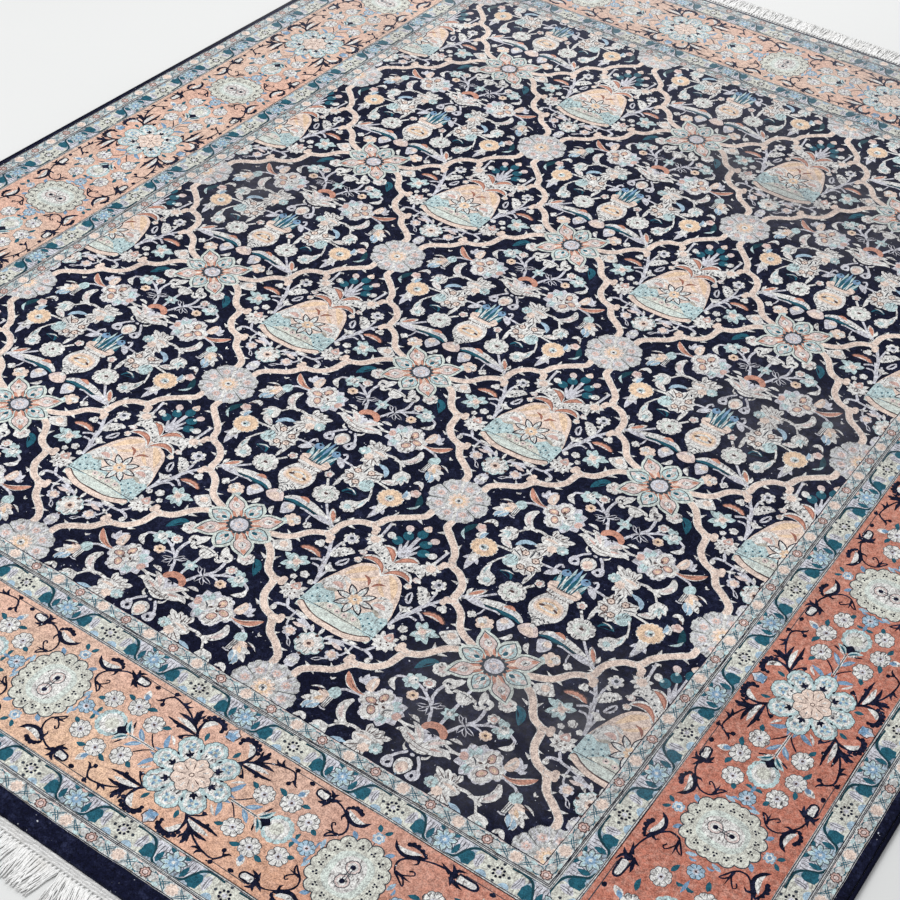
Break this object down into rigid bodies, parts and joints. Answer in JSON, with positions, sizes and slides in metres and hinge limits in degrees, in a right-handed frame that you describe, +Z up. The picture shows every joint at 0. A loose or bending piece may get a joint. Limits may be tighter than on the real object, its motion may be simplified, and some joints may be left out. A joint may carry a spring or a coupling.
{
  "type": "hand-knotted oriental rug",
  "caption": "Flat hand-knotted wool rug with a lattice and vase field, wide floral border, overcast sides and knotted cotton fringe at both ends.",
  "frame": {"origin": "middle of the whole outline, fringes included, at the underside", "axes": "+Y along the warps to the far end, +X to the right side seen from the near end, +Z up from the pile"},
  "size_m": [2.4414, 3.2625, 0.01],
  "materials": {
    "pile_wool": "knotted wool pile with a silky sheen, many yarn colours on a dark blue ground",
    "cord_wool": "dark blue wool overcasting",
    "warp_cotton": "matt off-white twisted cotton"
  },
  "bodies": {
    "root": {"pile_carpet": "pile_wool", "side_cord_right": "cord_wool", "side_cord_left": "cord_wool", "end_web_near": "warp_cotton", "end_web_far": "warp_cotton", "fringe_near": "warp_cotton", "fringe_far": "warp_cotton"}
  },
  "joints": []
}
